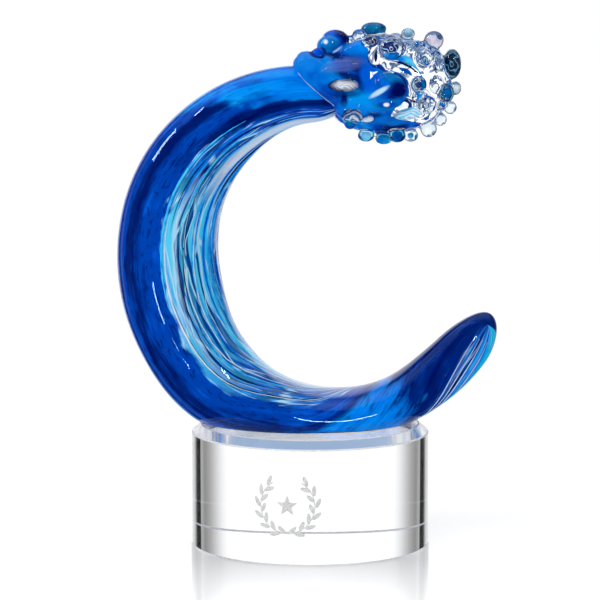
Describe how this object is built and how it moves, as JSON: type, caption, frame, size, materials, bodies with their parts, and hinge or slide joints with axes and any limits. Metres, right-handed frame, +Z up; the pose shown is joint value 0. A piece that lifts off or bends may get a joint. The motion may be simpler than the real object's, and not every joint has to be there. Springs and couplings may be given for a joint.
{
  "type": "glass wave award",
  "caption": "Curled wave of cased blue and clear glass with a beaded crest, bonded to a clear crystal disc base; a free-standing trophy.",
  "frame": {"origin": "centre of the base's flat underside", "axes": "+Z up, +X to the right as seen from the front, where the wave opens; the front faces -Y"},
  "size_m": [0.1629, 0.102, 0.2236],
  "materials": {
    "crystal": "optical crystal, all faces polished",
    "glue": "clear cured adhesive film",
    "clear_glass": "clear soda-lime art glass, fire polished",
    "blue_glass": "cobalt colour sheet with darker and lighter streaks",
    "streak_glass": "turquoise, white and dark blue pulled streaks",
    "hood_glass": "blue glass gather, fire polished, fading to clear",
    "bead_glass": "clear droplets with turquoise and blue tints"
  },
  "bodies": {
    "root": {"crystal_base": "crystal", "adhesive_bond": "glue", "clear_core": "clear_glass", "blue_sheet": "blue_glass", "streak_1": "streak_glass", "streak_2": "streak_glass", "streak_3": "streak_glass", "streak_4": "streak_glass", "streak_5": "streak_glass", "streak_6": "streak_glass", "streak_7": "streak_glass", "streak_8": "streak_glass", "streak_9": "streak_glass", "clear_casing": "clear_glass", "crest_hood": "hood_glass", "crest_foam": "clear_glass", "foam_bead_01": "bead_glass", "foam_bead_02": "bead_glass", "foam_bead_03": "bead_glass", "foam_bead_04": "bead_glass", "foam_bead_05": "bead_glass", "foam_bead_06": "bead_glass", "foam_bead_07": "bead_glass", "foam_bead_08": "bead_glass", "foam_bead_09": "bead_glass", "foam_bead_10": "bead_glass", "foam_bead_11": "bead_glass", "foam_bead_12": "bead_glass", "foam_bead_13": "bead_glass", "foam_bead_14": "bead_glass", "foam_bead_15": "bead_glass", "foam_bead_16": "bead_glass", "foam_bead_17": "bead_glass", "foam_bead_18": "bead_glass", "foam_bead_19": "bead_glass", "foam_bead_20": "bead_glass", "foam_bead_21": "bead_glass", "foam_bead_22": "bead_glass", "foam_bead_23": "bead_glass", "foam_bead_24": "bead_glass", "foam_bead_25": "bead_glass", "foam_bead_26": "bead_glass", "foam_bead_27": "bead_glass", "foam_bead_28": "bead_glass", "foam_bead_29": "bead_glass", "foam_bead_30": "bead_glass", "foam_bead_31": "bead_glass", "foam_bead_32": "bead_glass", "foam_bead_33": "bead_glass", "foam_bead_34": "bead_glass", "foam_bead_35": "bead_glass", "foam_bead_36": "bead_glass"}
  },
  "joints": []
}
